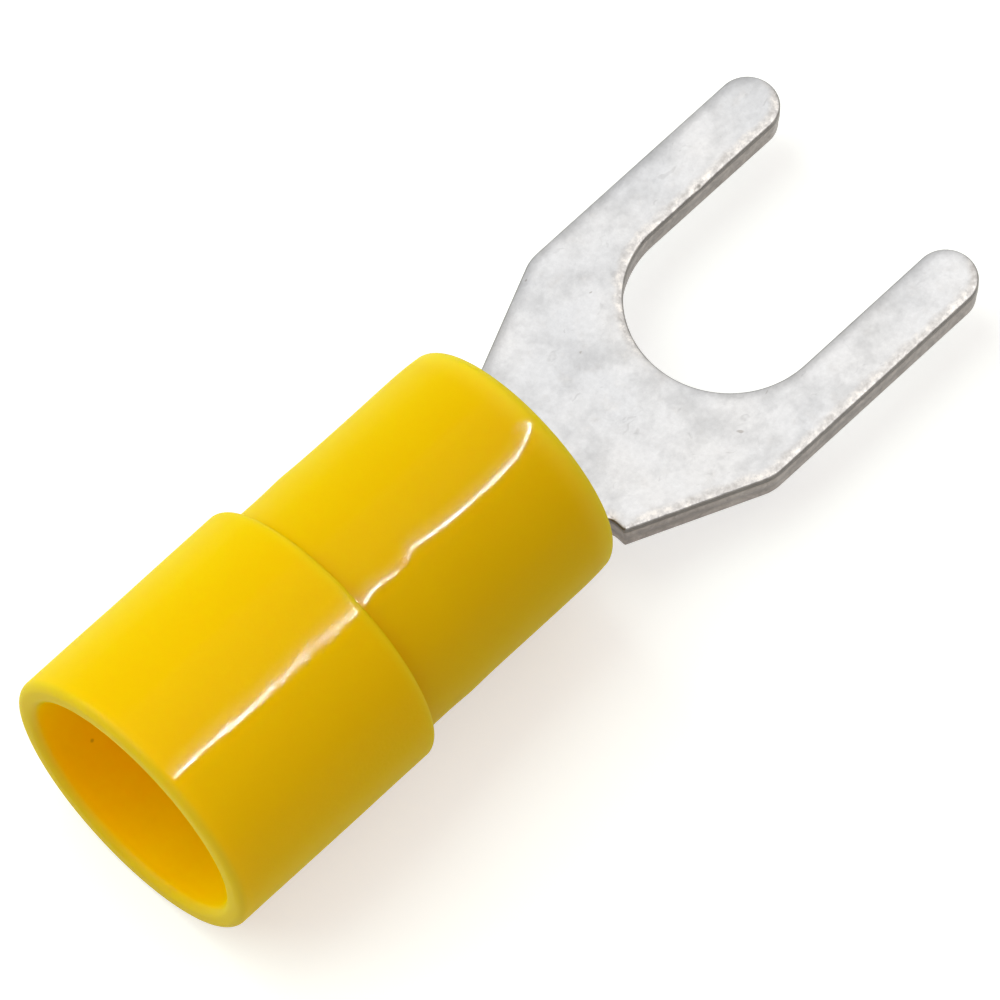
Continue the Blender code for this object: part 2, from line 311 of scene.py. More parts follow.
def rounded_section(corners, spacing):
    """Closed section through rounded corners, with the straight sides split evenly to the given spacing."""
    arcs = []
    for i, (x, y, radius) in enumerate(corners):
        arcs.append(fillet(corners[i - 1][:2], (x, y), corners[(i + 1) % len(corners)][:2], radius))
    parts = []
    for this, following in zip(arcs, arcs[1:] + arcs[:1]):
        parts.append(this)
        gap = following[0] - this[-1]
        count = int(np.linalg.norm(gap) / spacing)
        if count > 1:
            parts.append(this[-1] + gap * (np.arange(1, count) / count)[:, None])
    return np.concatenate(parts)


def grid_faces(rows, columns, first=0, closed=False, flip=False):
    """Quads of a rows by columns grid of points: each takes a point, its neighbours and the one across."""
    i = np.arange(rows if closed else rows - 1)
    j = np.arange(columns if closed else columns - 1)
    i, j = np.meshgrid(i, j, indexing="ij")
    k, m = (i + 1) % rows, (j + 1) % columns
    quads = np.stack([i * columns + j, k * columns + j, k * columns + m, i * columns + m], -1)
    quads = quads.reshape(-1, 4)
    return (quads[:, ::-1] if flip else quads) + first


def weld(points, quads, tolerance=1e-9):
    """Points that share a place become one, and a quad that loses a side becomes a triangle."""
    keys = np.round(points / tolerance).astype(np.int64)
    _, first, to = np.unique(keys, axis=0, return_index=True, return_inverse=True)
    faces = to.reshape(-1)[quads]
    same = faces == np.roll(faces, -1, axis=1)
    whole = faces[~same.any(1)]
    single = same.sum(1) == 1
    order = (same[single].argmax(1)[:, None] + np.arange(1, 4)) % 4
    triangles = np.take_along_axis(faces[single], order, 1)
    return points[first], first, whole.tolist() + triangles.tolist()


def make_mesh(name, points, faces, attributes, sharp):
    """Smooth mesh object at the origin, with one number per point for each attribute. Edges that turn
    by more than the given degrees stay sharp."""
    mesh = bpy.data.meshes.new(name)
    mesh.from_pydata(points.tolist(), [], faces)
    for key, values in attributes.items():
        layer = mesh.attributes.new(key, "FLOAT", "POINT")
        layer.data.foreach_set("value", np.asarray(values, np.float32))
    mesh.shade_smooth()
    mesh.set_sharp_from_angle(angle=math.radians(sharp))
    obj = bpy.data.objects.new(name, mesh)
    bpy.context.scene.collection.objects.link(obj)
    return obj


# Vinyl sleeve


def sleeve_section(s):
    """Section as (x, radius) points, outer side first, from the fork end to the mouth and back inside."""
    step = MOUTH_X + s.grip_length
    inner_step = MOUTH_X + s.bore_length
    return rounded_section([
        (RIM_X, s.narrow_radius, s.rim_round),
        (step, s.narrow_radius, STEP_FOOT_ROUND),
        (step, s.wide_radius, s.step_round),
        (MOUTH_X, s.wide_radius, s.mouth_round),
        (MOUTH_X, s.wide_bore, s.mouth_round),
        (inner_step - s.bore_taper, s.wide_bore, CONE_ROUND),
        (inner_step, s.narrow_bore, CONE_ROUND),
        (RIM_X, s.narrow_bore, BORE_END_ROUND),
    ], SECTION_SPACING)


def narrow_ripple(x, s):
    """Change of the narrow outer radius: the sum of the crested rings, less a draw-in that grows
    towards the rim with distance to the power 2.4."""
    rings = sum(share * s.swelling * crest(x, RIM_X - away, width) for away, width, share in RINGS)
    near_rim = np.clip((x - (RIM_X - DRAW_IN_REACH)) / DRAW_IN_REACH, 0, 1)
    return rings - s.droop * near_rim ** 2.4


def waves(x, turn, s):
    """Slight waves of a moulded skin: three sine waves that wind round the sleeve at different pitches."""
    along = x / MM
    return s.waviness * (
        np.sin(5 * turn + 0.9 * along + 0.6)
        + 0.5 * np.sin(9 * turn - 1.7 * along + 2.1)
        + 0.25 * np.sin(14 * turn + 2.6 * along)
    )


def sleeve_points(s):
    """Section points turned about the barrel's axis: y and z are the radius times the sine and cosine
    of the turn. The radius gains the waves and, on the narrow outside, the ripple. It loses the squash
    times the cosine of twice the turn, which fades with the radius at both steps."""
    section = sleeve_section(s)
    turn = 2 * math.pi * np.arange(TURN_STEPS) / TURN_STEPS
    x, radius = (np.repeat(values[:, None], TURN_STEPS, 1) for values in section.T)
    step = MOUTH_X + s.grip_length
    narrow_middle = (s.narrow_radius + s.narrow_bore) / 2
    wide_middle = (s.wide_radius + s.wide_bore) / 2
    outside = section[:, 1] > np.where(section[:, 0] > step, narrow_middle, wide_middle)
    rippled = (x > step + 0.05 * MM) & outside[:, None]
    radius = radius + np.where(rippled, narrow_ripple(x, s), 0) + waves(x, turn, s)
    base = np.where(outside, s.narrow_radius, s.narrow_bore)
    top = np.where(outside, s.wide_radius, s.wide_bore)
    pressed = ease((section[:, 1] - base) / (top - base))
    radius = radius - s.squash * pressed[:, None] * np.cos(2 * turn)
    points = np.stack([x, radius * np.sin(turn), AXIS_Z + radius * np.cos(turn)], -1)
    return section, points.reshape(-1, 3)


def sleeve_shares(section, s):
    """Share of each finish, and of each patch of painted light and shade, along the section: highest near
    its own place, easing to 0 away from it.
    """
    x, radius = section.T
    step = MOUTH_X + s.grip_length
    middle = (s.wide_radius + s.wide_bore) / 2
    # Share of the mouth edge's darker colour, painted shade
    mouth = near(x, MOUTH_X, 0.3 * MM, 0.25 * MM) * (np.abs(radius - middle) < 0.4 * MM)
    # Share of the paler rim colour, painted light, with a weaker band at the step's edge
    rim = near(x, RIM_X, 0.9 * MM, 0.8 * MM)
    step_edge = 0.3 * near(x, step, 0.35 * MM, 0.3 * MM)
    rim = np.maximum(rim, np.where(radius > s.narrow_radius + 0.1 * MM, step_edge, 0))
    # Share of the inside's lighter colour, painted light from the glow through the wall
    inside = ease((x - MOUTH_X) / (0.5 * MM)) * (x < RIM_X - 0.5 * MM)
    inside = inside * (radius < min(middle, s.narrow_radius))
    wide = ease((step + 0.1 * MM - x) / (0.2 * MM))
    matte = wide * (0.10 + 0.90 * ease((x - MOUTH_X) / (5.0 * MM)))
    matte = np.maximum(matte, 0.35 * near(x, -1.0 * MM, 1.0 * MM, 0.4 * MM))
    return {"rim": rim, "mouth": mouth, "inside": inside, "wide": wide, "matte": matte}


# Stamped and rolled metal


class Outline:
    """Half outline of the flat blank: places, inward normals, edge radii and the way past each radius."""

    def __init__(self):
        self.rows = []

    def add(self, places, inward, radius=np.inf, beyond=(0.0, 0.0)):
        """Adds places, with one inward normal for all or one for each."""
        places = np.atleast_2d(places)
        count = len(places)
        inward = np.broadcast_to(inward, (count, 2))
        beyond = np.broadcast_to(beyond, (count, 2))
        self.rows.append(np.column_stack([places, inward, np.full(count, radius), beyond]))

    def arc(self, centre, radius, turn, hollow=False):
        """Adds an arc: the centre less the radius times each inward unit vector, or plus where hollow."""
        ray = rays(turn)
        if hollow:
            self.add(centre + radius * ray, ray)
        else:
            self.add(centre - radius * ray, ray, radius)

    def count(self):
        return sum(map(len, self.rows))

    def parts(self):
        """Arrays of the places, inward normals, edge radii and ways past them."""
        return np.split(np.concatenate(self.rows), [2, 4, 5], axis=1)

    def inset(self, distance):
        """Outline moved inwards: along the normal as far as the edge radius, then along the mitre."""
        places, inward, radius, beyond = self.parts()
        return places + np.minimum(distance, radius) * inward + np.maximum(distance - radius, 0) * beyond


def add_barrel(out, s):
    """Rear edge, seam edge and front edge of the barrel's blank. The normals lean with the distance
    from the middle, so that an inset outline keeps its corners and never folds."""
    middle_radius = BARREL_RADIUS - s.thickness / 2
    wrap = math.pi * middle_radius - s.seam_gap / 2
    rear, front = BARREL_REAR_X, RIM_X - s.barrel_setback
    neck = s.neck_width / 2
    middle_part = neck * np.arange(NECK_COLUMNS + 1) / NECK_COLUMNS
    across = np.concatenate([middle_part, steps(neck, wrap, WRAP_COLUMNS, "end")])
    out.add(column(rear, across), column(1, -across / wrap))
    along = steps(rear, front, BARREL_ROWS, "end")
    out.add(column(along, wrap), column((rear + front - 2 * along) / (front - rear), -1))
    out.add(column(front, steps(wrap, neck, WRAP_COLUMNS)), (-1, -1))


def add_neck_and_taper(out, s):
    """Neck, its fillet, the tongue's rear corner, and the slanted side as far as the shoulder's end,
    whose x it gives. Each round corner is an arc that both of its straight sides touch."""
    front = RIM_X - s.barrel_setback
    root = RIM_X + s.neck_length
    neck = s.neck_width / 2
    slope = math.atan2(FORK_HALF_WIDTH - s.root_width / 2, s.taper_length)
    side = np.array([math.sin(slope), -math.cos(slope)])
    out.add((front, neck), (0, 0), 0.0, (-1, -1))
    out.add(column(steps(front, root - s.neck_round, NECK_SIDE_ROWS), neck), (0, -1))
    centre = np.array([root - s.neck_round, neck + s.neck_round])
    out.arc(centre, s.neck_round, np.radians(np.linspace(-90, 0, NECK_FILLET_ROWS)), hollow=True)

    corner = np.array([root, s.root_width / 2])
    half_turn = (math.pi / 2 - slope) / 2
    centre = corner + np.array([s.corner_round, -s.corner_round * math.tan(half_turn)])
    ray = rays(np.linspace(0, -2 * half_turn, CORNER_ROWS))
    mitre = (ray[0] + side) / (1 + ray[0] @ side)
    out.add(centre - s.corner_round * ray, ray, s.corner_round, mitre)

    cut = s.shoulder_round * math.tan(slope / 2)
    shoulder = np.array([root + s.taper_length, FORK_HALF_WIDTH])
    start = centre - s.corner_round * side
    end = shoulder - cut * np.array([math.cos(slope), math.sin(slope)])
    turning_x = TIP_X - s.slot_depth - TURNING_LEAD
    turning = np.array([turning_x, corner[1] + (turning_x - root) * math.tan(slope)])
    used = 1 + NECK_SIDE_ROWS + NECK_FILLET_ROWS + CORNER_ROWS
    share = steps(CORNER_SHARE, 1, CENTRE_ROWS - used - 1, "end")[1:, None]
    out.add(start + (turning - start) * share, side)
    out.add(turning + (end - turning) * steps(0, 1, TURNING_ROWS)[:, None], side)
    centre = shoulder + np.array([cut, -s.shoulder_round])
    out.arc(centre, s.shoulder_round, np.linspace(-math.pi / 2 + slope, -math.pi / 2, SHOULDER_ROWS))
    return centre[0]


def blank_outline(s):
    """Half of the blank's outline, from the barrel's rear middle round the tip to the slot's floor,
    with the count of places before the neck and before the tip's far side."""
    slot = s.slot_width / 2
    slot_centre = TIP_X - s.slot_depth + slot
    tip = (FORK_HALF_WIDTH - slot) / 2
    tip_centre = np.array([TIP_X - tip, slot + tip])
    out = Outline()
    add_barrel(out, s)
    begin = out.count()
    straight = add_neck_and_taper(out, s)
    side_rows = SLOT_ROWS - TURNING_ROWS - SHOULDER_ROWS
    out.add(column(steps(straight, slot_centre, side_rows), FORK_HALF_WIDTH), (0, -1))
    prong_x = steps(slot_centre, tip_centre[0], PRONG_ROWS, "start")
    out.add(column(prong_x, FORK_HALF_WIDTH), (0, -1))
    out.arc(tip_centre, tip, np.linspace(-math.pi / 2, -math.pi, TIP_ROWS))
    finish = out.count()
    out.arc(tip_centre, tip, np.linspace(-math.pi, -3 * math.pi / 2, TIP_ROWS)[1:])
    out.add(column(prong_x[::-1], slot), (0, 1))
    quarter = np.radians(steps(180, 90, SLOT_ROWS - 1, "start"))
    out.arc(np.array([slot_centre, 0.0]), slot, quarter[::-1], hollow=True)
    return out, begin, finish


def flat_surface(out, begin, finish, distance):
    """Face inside the inset outline. The tongue's points slide in straight lines from the middle line,
    or the slot's side, to the outer side, and the barrel's from its rear row to its front row."""
    edge = out.inset(distance)
    share = np.arange(NECK_COLUMNS + 1)[:, None] / NECK_COLUMNS
    outer = edge[begin:finish]
    inner_edge = edge[finish - 1:][::-1]
    middle_rows = len(outer) - len(inner_edge)
    walk = np.abs(np.diff(outer[:middle_rows + 1], axis=0)) @ (1.0, SIDEWAYS_WEIGHT)
    walk = np.concatenate([[0], np.cumsum(walk)])
    middle_x = outer[0, 0] + (inner_edge[0, 0] - outer[0, 0]) * walk[:-1] / walk[-1]
    inner = np.concatenate([column(middle_x, 0.0), inner_edge])
    tongue = inner[:, None] + (outer - inner)[:, None] * share
    rear_count = NECK_COLUMNS + 1 + WRAP_COLUMNS + 1
    rear_row = edge[:rear_count]
    side = edge[rear_count - 1:rear_count + BARREL_ROWS + 1]
    shoulder = edge[rear_count + BARREL_ROWS:begin][::-1]
    front_row = np.concatenate([tongue[0], shoulder])
    reach = ((side[:, 0] - side[0, 0]) / (side[-1, 0] - side[0, 0]))[:, None, None]
    barrel = rear_row + (front_row - rear_row) * reach
    return barrel, tongue


def edge_profile(s):
    """Section of the stamped edge as (inset, height) points: flat top, square-law rollover, small lip,
    sheared side, broken lower half; with the share of roll, of the painted dark line along the lip, and of
    side at each."""
    half = s.thickness / 2
    flat = column(np.linspace(BAND_WIDTH, s.roll_width, 3)[:-1], half)
    t = np.linspace(0, 1, ROLL_STEPS)
    roll = column(s.roll_width + (s.lip_round - s.roll_width) * t, half - s.roll_depth * t ** 2)
    slope = math.atan2(2 * s.roll_depth, s.roll_width - s.lip_round)
    turn = np.linspace(slope, math.pi / 2, LIP_STEPS + 1)[1:]
    drop = s.lip_round / (1 - math.sin(slope))
    lip_height = half - s.roll_depth - drop * (math.cos(slope) - np.cos(turn))
    lip = column(drop * (1 - np.sin(turn)), lip_height)
    section = np.concatenate([flat, roll, lip, SHEARED_SIDE])

    at_roll = slice(len(flat), len(flat) + ROLL_STEPS)
    at_lip = slice(at_roll.stop, at_roll.stop + LIP_STEPS)
    rolled, painted_dark_line, sheared = np.zeros((3, len(section)))
    rolled[at_roll] = t
    rolled[at_lip] = 1
    # Share of the painted dark reflection line along the lip
    painted_dark_line[at_lip] = np.linspace(0.3, 1, LIP_STEPS)
    painted_dark_line[at_lip.stop] = 1
    sheared[at_lip] = np.linspace(0, 1, LIP_STEPS)
    sheared[at_lip.stop:-3] = 1
    sheared[-3] = 0.4
    return section, np.stack([rolled, painted_dark_line, sheared], 1)


def roll_blank(x, across, height, s):
    """Flat blank bent to shape: the developed distance across becomes an angle, by a curvature of one
    over the middle radius in the barrel that eases to nothing along the neck."""
    middle_radius = BARREL_RADIUS - s.thickness / 2
    curvature = (1 - ease((x - RIM_X) / s.neck_length)) / middle_radius
    turn = curvature * across
    flat = curvature <= 0
    safe = np.where(flat, 1, curvature)
    y = np.where(flat, across, np.sin(turn) / safe)
    z = np.where(flat, 0, (1 - np.cos(turn)) / safe)
    y = y - np.sin(turn) * height
    z = AXIS_Z - middle_radius + z + np.cos(turn) * height
    return np.stack([x, y, z], -1)


def groove_depth(x, s):
    """Three grooves across the bore: a flat-bottomed dip round each groove's middle."""
    middle = (BARREL_REAR_X + RIM_X - s.barrel_setback) / 2
    away = np.abs(x[..., None] - middle - GROOVE_PLACES).min(-1)
    return GROOVE_DEPTH * (1 - ease((away - GROOVE_HALF_WIDTH) / GROOVE_SLOPE))


class Skin:
    """Grids of rolled points, with their quads and finish shares."""

    def __init__(self, s):
        self.settings = s
        self.count = 0
        self.points, self.quads, self.shares = [], [], []

    def put(self, flat, height, share, sign, flip=False):
        """Rolls a grid of the blank. A sign of -1 gives the other half, whose quads turn round."""
        x, across = flat[..., 0], sign * flat[..., 1]
        self.points.append(roll_blank(x, across, height, self.settings).reshape(-1, 3))
        self.shares.append(np.broadcast_to(share, (*x.shape, 3)).reshape(-1, 3))
        self.quads.append(grid_faces(*x.shape, first=self.count, flip=flip != (sign < 0)))
        self.count += x.size


def fork_skin(s):
    """Blank's faces and edge band, doubled by mirroring and rolled: the stamping as one closed skin.
    The rollover's burnish shows most on edges that face -Y, where the glint lamp falls: a painted
    highlight. The nick sinks the plate by its depth times e to the power minus distance squared."""
    out, begin, finish = blank_outline(s)
    profile, shares = edge_profile(s)
    half = s.thickness / 2
    rings = np.stack([out.inset(distance) for distance in profile[:, 0]], 1)
    levels = np.broadcast_to(profile[:, 1], rings.shape[:2])
    skin = Skin(s)
    for sign in (1.0, -1.0):
        for distance, level, under in ((profile[0, 0], half, False), (profile[-1, 0], -half, True)):
            barrel, tongue = flat_surface(out, begin, finish, distance)
            dip = groove_depth(barrel[..., 0], s) * (not under)
            dip[:, -1] = 0
            skin.put(barrel, level - dip, 0.0, sign, under)
            skin.put(tongue, level, 0.0, sign, under)
        inward = sign * out.parts()[1][:, 1]
        # Painted highlight: the rollover's share is kept mostly to edges that face -Y, where the glint lamp
        # falls
        painted_highlight_side = ease(0.35 + 0.85 * inward)[:, None, None] * (1, 0, 0) + np.array((0, 1, 1))
        skin.put(rings, levels, shares * painted_highlight_side, sign)
    points, quads, bands = (np.concatenate(parts) for parts in (skin.points, skin.quads, skin.shares))
    away = np.linalg.norm((points - NICK) / NICK_SPREAD, axis=1)
    points[:, 2] -= NICK_DEPTH * np.exp(-away ** 2)
    return points, quads, bands


# Finishes


def new_material(name):
    """Material with its node tree and its shader."""
    material = bpy.data.materials.new(name)
    material.use_nodes = True
    tree = material.node_tree
    return material, tree, tree.nodes["Principled BSDF"]


def set_values(shader, values):
    """Fixed values on the shader's own sockets."""
    for name, value in values.items():
        shader.inputs[name].default_value = value


def join(tree, start, end):
    """Link from one socket to another."""
    tree.links.new(start, end)


def four(shade):
    """Colour or grey with full opacity."""
    return (*np.broadcast_to(shade, 3).tolist(), 1.0)


def tinted(shade, share):
    """Colour times a share."""
    return [part * share for part in shade]


def noise_node(tree, vector, scale):
    """Noise texture on the given coordinates."""
    node = tree.nodes.new("ShaderNodeTexNoise")
    node.inputs["Scale"].default_value = scale
    join(tree, vector, node.inputs["Vector"])
    return node


def noise(tree, vector, scale, detail, roughness=0.5):
    """Cloudy noise between 0 and 1."""
    node = noise_node(tree, vector, scale)
    node.inputs["Detail"].default_value = detail
    node.inputs["Roughness"].default_value = roughness
    return node.outputs["Fac"]


def ramp(tree, factor, stops):
    """Colours or greys at given places of a factor, in straight lines between them."""
    node = tree.nodes.new("ShaderNodeValToRGB")
    elements = node.color_ramp.elements
    while len(elements) < len(stops):
        elements.new(0.5)
    for element, (place, shade) in zip(elements, stops):
        element.position = place
        element.color = four(shade)
    join(tree, factor, node.inputs["Fac"])
    return node.outputs["Color"]


def mix(tree, factor, a, b, blend="MIX"):
    """Mix of a and b by a factor, each of them a socket, a colour or a number."""
    node = tree.nodes.new("ShaderNodeMix")
    node.data_type = "RGBA"
    node.blend_type = blend
    colours = [socket for socket in node.inputs if socket.enabled and socket.type == "RGBA"]
    for value, socket in zip((factor, a, b), [node.inputs[0]] + colours):
        if isinstance(value, bpy.types.NodeSocket):
            join(tree, value, socket)
        elif socket.type == "RGBA":
            socket.default_value = four(value)
        else:
            socket.default_value = value
    return next(socket for socket in node.outputs if socket.enabled)


def calculate(tree, operation, a, b):
    """One step of arithmetic on two values, each a socket or a number."""
    node = tree.nodes.new("ShaderNodeMath")
    node.operation = operation
    for value, socket in zip((a, b), node.inputs):
        if isinstance(value, bpy.types.NodeSocket):
            join(tree, value, socket)
        else:
            socket.default_value = value
    return node.outputs[0]


def multiply(tree, a, b):
    """Product of two values."""
    return calculate(tree, "MULTIPLY", a, b)


def stain(tree, tint, share, strength, shade):
    """Tint with a shade mixed in where the share is high."""
    return mix(tree, multiply(tree, share, strength), tint, shade)


def bump(tree, height, distance, normal=None):
    """Normal bent by a height from 0 to 1, on top of another normal where one is given."""
    node = tree.nodes.new("ShaderNodeBump")
    node.inputs["Distance"].default_value = distance
    join(tree, height, node.inputs["Height"])
    if normal is not None:
        join(tree, normal, node.inputs["Normal"])
    return node.outputs["Normal"]


def attribute(tree, name):
    """Number that the mesh holds at each point."""
    node = tree.nodes.new("ShaderNodeAttribute")
    node.attribute_name = name
    return node.outputs["Fac"]


def stretched(tree, vector, scale, degrees=0.0):
    """Coordinates turned about Z and scaled apart, so that a pattern runs along one way."""
    node = tree.nodes.new("ShaderNodeMapping")
    node.inputs["Rotation"].default_value = (0.0, 0.0, math.radians(degrees))
    node.inputs["Scale"].default_value = scale
    join(tree, vector, node.inputs["Vector"])
    return node.outputs["Vector"]


def measure(tree, operation, vector, other):
    """Distance to a place, or dot product with a direction."""
    node = tree.nodes.new("ShaderNodeVectorMath")
    node.operation = operation
    join(tree, vector, node.inputs[0])
    node.inputs[1].default_value = other
    return node.outputs["Value"]


def spot(tree, vector, place, radius):
    """1 in the middle of a ball round a place, falling to 0 at its edge."""
    away = calculate(tree, "DIVIDE", measure(tree, "DISTANCE", vector, place), radius)
    return ramp(tree, away, [(0.4, 1.0), (1.0, 0.0)])


def specks(tree, vector, scale, size):
    """Sparse round specks: 1 close to each cell's middle, falling to 0 at the given size."""
    node = tree.nodes.new("ShaderNodeTexVoronoi")
    node.inputs["Scale"].default_value = scale
    join(tree, vector, node.inputs["Vector"])
    return ramp(tree, node.outputs["Distance"], [(size * 0.6, 1.0), (size, 0.0)])


def flecks(tree, vector, degrees, scale, size):
    """Sparse short strokes at about one angle: thresholded noise in turned and stretched coordinates."""
    cloud = noise(tree, stretched(tree, vector, scale, degrees), 1.0, 2.0, 0.6)
    return ramp(tree, cloud, [(size, 0.0), (size + 0.06, 1.0)])


def vinyl_material(s):
    """Vinyl that scatters light inside, under a thin clear gloss."""
    material, tree, shader = new_material("glossy_yellow_vinyl")
    place = tree.nodes.new("ShaderNodeTexCoord").outputs["Object"]

    # Body colour by place on the sleeve, with long faint clouds, and painted light and shade: a darker
    # narrow part, a lighter inside, a darker mouth edge, a paler rim and step edge
    body = mix(tree, attribute(tree, "wide"), s.narrow_painted_shade_vinyl, s.vinyl)
    cloud = noise(tree, stretched(tree, place, (60.0, 260.0, 260.0)), 1.0, 3.0)
    body = mix(tree, ramp(tree, cloud, [(0.35, 0.35), (0.65, 0.0)]), body, tinted(s.vinyl, 0.9))
    # Painted light: the lighter inside colour stands in for light through the wall
    body = mix(tree, attribute(tree, "inside"), body, s.inside_painted_glow_vinyl)
    # Painted shade: the darker colour on the wire mouth's edge
    body = mix(tree, attribute(tree, "mouth"), body, s.mouth_painted_shade_vinyl)
    # Painted light: the paler colour at the fork end and the step's edge
    body = mix(tree, attribute(tree, "rim"), body, s.rim_painted_light_vinyl)

    # Dust and the two dark specks
    dust = specks(tree, place, 300.0, 0.02)
    for speck in SLEEVE_SPECKS:
        dust = calculate(tree, "MAXIMUM", dust, spot(tree, place, speck, 0.07 * MM))
    body = stain(tree, body, dust, 0.45, (0.25, 0.16, 0.02))
    join(tree, body, shader.inputs["Base Color"])

    # Orange peel, the pip, and fine grain where the gloss is matter
    peel = bump(tree, noise(tree, place, 1500.0, 2.0), 0.002 * MM)
    pip = bump(tree, spot(tree, place, PIP, 0.11 * MM), 0.012 * MM, peel)
    grain = multiply(tree, noise(tree, place, 8000.0, 1.0), attribute(tree, "matte"))
    rough = bump(tree, grain, 0.0042 * MM, pip)
    join(tree, rough, shader.inputs["Normal"])
    join(tree, rough, shader.inputs["Coat Normal"])
    set_values(shader, {
        "Roughness": 0.5,
        "Specular IOR Level": 0.0,
        "Coat Weight": 0.14,
        "Coat Roughness": 0.05,
        "Subsurface Weight": 1.0,
        "Subsurface Radius": (0.5, 0.5, 0.02),
        "Subsurface Scale": 1.0 * MM,
    })
    material.diffuse_color = four(s.vinyl)
    return material


def sheared_colour(tree, place, wander, s):
    """Colour of the sheared side: streaks down the cut, and a ragged dark line where the metal broke."""
    streak = noise(tree, stretched(tree, wander, (4500.0, 4500.0, 1300.0)), 1.0, 4.0, 0.7)
    shear = ramp(tree, streak, [(0.35, tinted(s.shear, 0.72)), (0.65, tinted(s.shear, 1.2))])
    height = tree.nodes.new("ShaderNodeSeparateXYZ")
    join(tree, place, height.inputs[0])
    uneven = multiply(tree, noise(tree, place, 900.0, 4.0), 0.5 * MM)
    level = calculate(tree, "ADD", height.outputs["Z"], uneven)
    level = calculate(tree, "DIVIDE", level, 4 * MM)
    broken = ramp(tree, level, [(0.40, 0.1), (0.44, 0.9), (0.455, 0.9), (0.50, 0.0)])
    patches = ramp(tree, noise(tree, place, 350.0, 2.0), [(0.40, 0.1), (0.60, 0.8)])
    return mix(tree, multiply(tree, broken, patches), shear, tinted(s.shear, 0.55))


def tin_material(s):
    """Matt tin plate, mottled and scratched, with its stamped edge and sheared side."""
    material, tree, shader = new_material("mottled_tin_plate")
    place = tree.nodes.new("ShaderNodeTexCoord").outputs["Object"]
    wander = mix(tree, 0.0009, place, noise_node(tree, place, 1500.0).outputs["Color"], "ADD")

    # Mottled plate and its fine grain
    blotch = noise(tree, place, 1100.0, 5.0, 0.6)
    tone = noise(tree, place, 320.0, 3.0)
    grain = noise(tree, place, 7000.0, 3.0, 0.7)
    tint = mix(tree, ramp(tree, tone, [(0.38, 0.0), (0.62, 1.0)]), s.tin, s.warm_tin)
    tint = mix(tree, ramp(tree, blotch, [(0.34, 0.30), (0.54, 0.0)]), tint, 0.45)
    tint = mix(tree, ramp(tree, tone, [(0.30, 0.14), (0.50, 0.0)]), tint, 0.50)
    tint = mix(tree, 0.20, tint, ramp(tree, grain, [(0.3, 0.45), (0.7, 1.0)]), "MULTIPLY")

    # Faint cracks, short strokes and dark specks
    crack = tree.nodes.new("ShaderNodeTexVoronoi")
    crack.feature = "DISTANCE_TO_EDGE"
    crack.inputs["Scale"].default_value = 620.0
    join(tree, wander, crack.inputs["Vector"])
    line = ramp(tree, crack.outputs["Distance"], [(0.0, 1.0), (0.03, 0.0)])
    patches = ramp(tree, noise(tree, place, 1700.0, 2.0), [(0.54, 0.0), (0.64, 1.0)])
    tint = stain(tree, tint, multiply(tree, line, patches), 0.10, 0.35)
    strokes = flecks(tree, wander, 25.0, (1500.0, 3400.0, 1100.0), 0.68)
    crossing = flecks(tree, wander, -55.0, (1700.0, 3800.0, 1300.0), 0.69)
    strokes = calculate(tree, "MAXIMUM", strokes, crossing)
    tint = stain(tree, tint, strokes, 0.20, (0.30, 0.29, 0.28))
    tint = stain(tree, tint, specks(tree, wander, 900.0, 0.05), 0.45, (0.25, 0.21, 0.17))

    # Rolled-over edge with a ragged border, its burnish a painted highlight kept to edges that face -Y;
    # sheared side; the painted dark reflection line under the edge; and nick
    roll = attribute(tree, "roll")
    grains = [(0.36, s.burnish_dark), (0.5, s.burnish), (0.66, s.burnish_light)]
    painted_highlight_cream = ramp(tree, noise(tree, place, 4500.0, 3.0, 0.7), grains)
    ragged = calculate(tree, "ADD", roll, multiply(tree, noise(tree, place, 2600.0, 3.0), 0.7))
    tint = mix(tree, ramp(tree, ragged, [(0.40, 0.0), (0.95, 1.0)]), tint, painted_highlight_cream)
    tint = mix(tree, attribute(tree, "side"), tint, sheared_colour(tree, place, wander, s))
    # Painted dark reflection line under the rolled-over edge
    tint = stain(tree, tint, attribute(tree, "lip"), 0.85, s.lip)
    tint = stain(tree, tint, spot(tree, place, NICK, 0.10 * MM), 0.5, (0.20, 0.18, 0.14))
    join(tree, tint, shader.inputs["Base Color"])

    # Roughness and relief
    set_values(shader, {"Metallic": 1.0})
    rough = ramp(tree, blotch, [(0.35, 0.44), (0.65, 0.36)])
    join(tree, mix(tree, roll, rough, 0.30), shader.inputs["Roughness"])
    swell = bump(tree, noise(tree, place, 900.0, 3.0), 0.02 * MM)
    pits = multiply(tree, noise(tree, place, 3600.0, 3.0, 0.7), roll)
    pitted = bump(tree, pits, 0.025 * MM, swell)
    join(tree, bump(tree, grain, 0.006 * MM, pitted), shader.inputs["Normal"])
    material.diffuse_color = four(s.tin)
    return material


def floor_material(s):
    """Matt floor that glows only to the camera, gloss and glass, where its own light makes it white."""
    material, tree, shader = new_material("pale_floor")
    set_values(shader, {
        "Base Color": four(s.floor_colour),
        "Emission Color": four(1.0),
        "Roughness": 1.0,
        "Specular IOR Level": 0.0,
    })
    light = tree.nodes.new("ShaderNodeLightPath").outputs
    seen = calculate(tree, "ADD", light["Is Camera Ray"], light["Is Glossy Ray"])
    seen = calculate(tree, "ADD", seen, light["Is Transmission Ray"])
    join(tree, multiply(tree, seen, FLOOR_GLOW), shader.inputs["Emission Strength"])
    return material


# Stage


